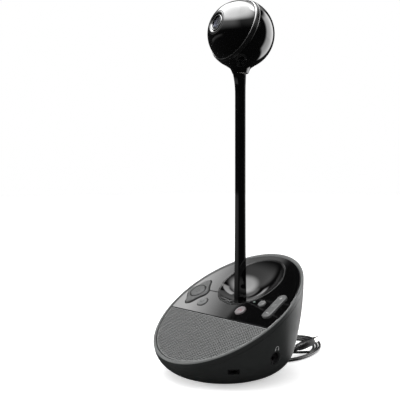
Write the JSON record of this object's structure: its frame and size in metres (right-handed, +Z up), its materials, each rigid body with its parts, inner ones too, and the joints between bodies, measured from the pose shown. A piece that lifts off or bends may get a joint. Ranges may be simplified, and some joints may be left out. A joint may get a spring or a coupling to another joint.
{
  "type": "desktop conference camera",
  "caption": "Motorised pan-tilt ball camera on a tall stalk over a slanted round speakerphone base with grille, keys, dish and captive cable.",
  "frame": {"origin": "centre of the base's round footprint, on the table", "axes": "+Z up the stalk; the speaker grille faces -Y and the ball camera is turned 6 degrees from -Y towards -X; the headphone jack is on the +X side"},
  "size_m": [0.159, 0.2474, 0.3858],
  "materials": {
    "shell_satin": "satin moulded plastic, very dark grey",
    "rim_grey": "satin mid-grey plastic band",
    "gloss_black": "polished piano-black plastic",
    "grille_grey": "grey painted perforated steel",
    "cloth_black": "thin black acoustic cloth",
    "inner_black": "matte black moulded plastic",
    "rubber_black": "soft black rubber and cable jacket",
    "key_grey": "smooth mid-grey key plastic",
    "key_red": "smooth grey key plastic with a red tint",
    "lamp_clear": "clear light pipe",
    "board_green": "solder-masked circuit board",
    "steel": "plain steel",
    "ferrite": "dark ferrite magnet",
    "plated": "bright plated shell",
    "chrome_ring": "polished ring round the lens",
    "lens_glass": "coated dark lens glass",
    "nylon_white": "natural nylon",
    "cone_paper": "coated paper cone"
  },
  "bodies": {
    "base": {"base_housing": "shell_satin", "rim_trim": "rim_grey", "speaker_grille": "grille_grey", "grille_cloth": "cloth_black", "control_panel": "gloss_black", "rear_deck": "gloss_black", "cradle_dish": "gloss_black", "stalk_socket": "inner_black", "inner_frame": "inner_black", "button_board": "board_green", "speaker_basket": "inner_black", "speaker_magnet": "ferrite", "mic_capsule": "plated", "led_light_pipe": "lamp_clear", "base_plate": "shell_satin", "rubber_foot_pad": "rubber_black", "base_screw_1": "steel", "base_screw_2": "steel", "base_screw_3": "steel", "base_screw_4": "steel", "ballast_weight": "steel", "main_board": "board_green", "headphone_jack": "inner_black", "dc_power_jack": "inner_black", "cable_strain_relief": "rubber_black", "usb_cable": "rubber_black", "usb_plug_body": "rubber_black", "usb_plug_shell": "plated", "stalk_tube": "gloss_black", "stalk_lower_plug": "nylon_white", "stalk_wiring": "rubber_black", "pan_gearmotor": "steel", "neck_spigot": "nylon_white"},
    "speaker": {"speaker_cone": "cone_paper"},
    "answer_key": {"answer_button": "key_grey"},
    "end_key": {"end_button": "key_red"},
    "mute_key": {"mute_button": "key_grey"},
    "rocker": {"volume_rocker": "key_grey"},
    "pad_gimbal": {"dpad_carrier": "nylon_white"},
    "pad": {"dpad_cap": "key_grey"},
    "pad_centre": {"dpad_centre_button": "key_grey"},
    "head": {"head_cup": "gloss_black", "head_trim_ring": "gloss_black", "pan_shaft_hub": "steel", "head_board": "board_green", "tilt_fixed_gear": "nylon_white", "tilt_pivot_pin": "steel"},
    "eye": {"eye_front_shell": "gloss_black", "eye_rear_shell": "gloss_black", "lens_bezel": "inner_black", "lens_ring": "chrome_ring", "cover_glass": "lens_glass", "camera_board": "board_green", "eye_chassis": "steel", "tilt_motor": "steel"},
    "pinion": {"tilt_pinion": "nylon_white"},
    "lens": {"lens_barrel": "inner_black", "lens_element": "lens_glass"}
  },
  "joints": [
    {"name": "pan", "type": "hinge", "parent": "base", "child": "head", "pos_m": [0, 0.0224, 0.3502], "axis": [0, 0, 1], "range_deg": [-84, 96]},
    {"name": "tilt", "type": "hinge", "parent": "head", "child": "eye", "pos_m": [0, 0.0224, 0.3502], "axis": [-0.9945, 0.1045, 0], "range_deg": [-36, 19]},
    {"name": "tilt_pinion_spin", "type": "hinge", "parent": "eye", "child": "pinion", "pos_m": [0.00131, 0.03491, 0.35152], "axis": [-0.9945, 0.1045, 0], "range_deg": [-73, 39]},
    {"name": "focus_slide", "type": "slide", "parent": "eye", "child": "lens", "axis": [-0.1007, -0.9584, 0.2672], "range_m": [0, 0.0004]},
    {"name": "speaker_travel", "type": "slide", "parent": "base", "child": "speaker", "axis": [0, -0.5225, 0.8526], "range_m": [-0.0005, 0.0005]},
    {"name": "answer_press", "type": "slide", "parent": "base", "child": "answer_key", "axis": [0, 0.5225, -0.8526], "range_m": [0, 0.0006]},
    {"name": "end_press", "type": "slide", "parent": "base", "child": "end_key", "axis": [0, 0.5225, -0.8526], "range_m": [0, 0.0006]},
    {"name": "mute_press", "type": "slide", "parent": "base", "child": "mute_key", "axis": [0, 0.5225, -0.8526], "range_m": [0, 0.0006]},
    {"name": "volume_rock", "type": "hinge", "parent": "base", "child": "rocker", "pos_m": [0.0595, 0.0145, 0.07136], "axis": [1, 0, 0], "range_deg": [-2.5, 2.5]},
    {"name": "pad_rock_up_down", "type": "hinge", "parent": "base", "child": "pad_gimbal", "pos_m": [-0.0585, 0.0155, 0.07127], "axis": [1, 0, 0], "range_deg": [-2.5, 2.5]},
    {"name": "pad_rock_left_right", "type": "hinge", "parent": "pad_gimbal", "child": "pad", "pos_m": [-0.0585, 0.0155, 0.07127], "axis": [0, 0.8526, 0.5225], "range_deg": [-2.5, 2.5]},
    {"name": "pad_centre_press", "type": "slide", "parent": "pad", "child": "pad_centre", "axis": [0, 0.5225, -0.8526], "range_m": [0, 0.0006]}
  ],
  "couplings": [
    {"joint": "tilt_pinion_spin", "follows": "tilt", "ratio": 2}
  ]
}
